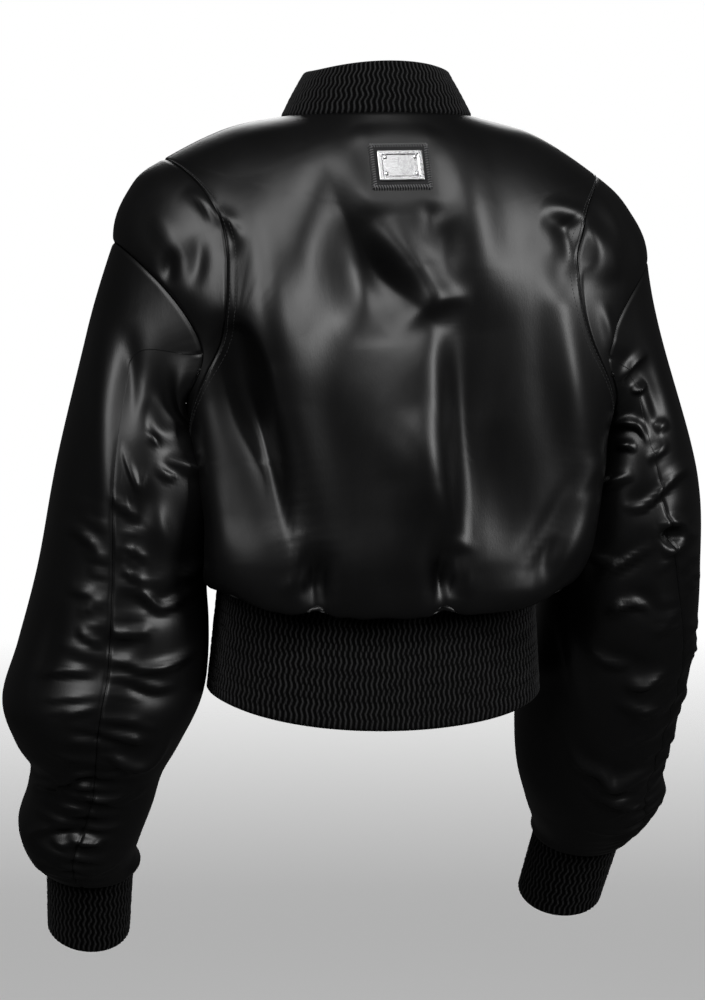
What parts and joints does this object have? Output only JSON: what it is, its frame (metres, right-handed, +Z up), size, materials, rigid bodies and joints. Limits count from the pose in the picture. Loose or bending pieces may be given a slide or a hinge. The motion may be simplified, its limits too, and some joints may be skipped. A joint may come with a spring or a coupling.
{
  "type": "bomber jacket",
  "caption": "Cropped black satin bomber jacket in worn form, with a ribbed collar, cuffs and hem band, a closed front zip and a metal plate below the collar.",
  "frame": {"origin": "centre of the neck at the height of the back collar seam", "axes": "+Z up, the jacket faces -Y, and its left is +X"},
  "size_m": [0.5947, 0.3139, 0.7406],
  "materials": {
    "satin": "satin",
    "knit": "matte",
    "leather": "matte",
    "metal": "polished",
    "tape": "matte"
  },
  "bodies": {
    "jacket": {"back_panel": "satin", "front_panel_left": "satin", "front_panel_right": "satin", "shoulder_cap_left": "satin", "shoulder_cap_right": "satin", "sleeve_outer_left": "satin", "sleeve_outer_right": "satin", "sleeve_under_left": "satin", "sleeve_under_right": "satin", "collar": "knit", "hem_band": "knit", "cuff_left": "knit", "cuff_right": "knit", "zip_tape_left": "tape", "zip_tape_right": "tape", "zip_slider": "metal", "zip_bail": "metal", "leather_patch": "leather", "metal_plate": "metal", "rivet_1": "metal", "rivet_2": "metal", "rivet_3": "metal", "rivet_4": "metal"},
    "pull_tab": {"zip_pull_tab": "metal"}
  },
  "joints": [
    {"name": "pull_tab_hinge", "type": "hinge", "parent": "jacket", "child": "pull_tab", "pos_m": [0.00294, -0.08393, -0.06433], "axis": [-1, 0, 0], "range_deg": [0, 135]}
  ]
}
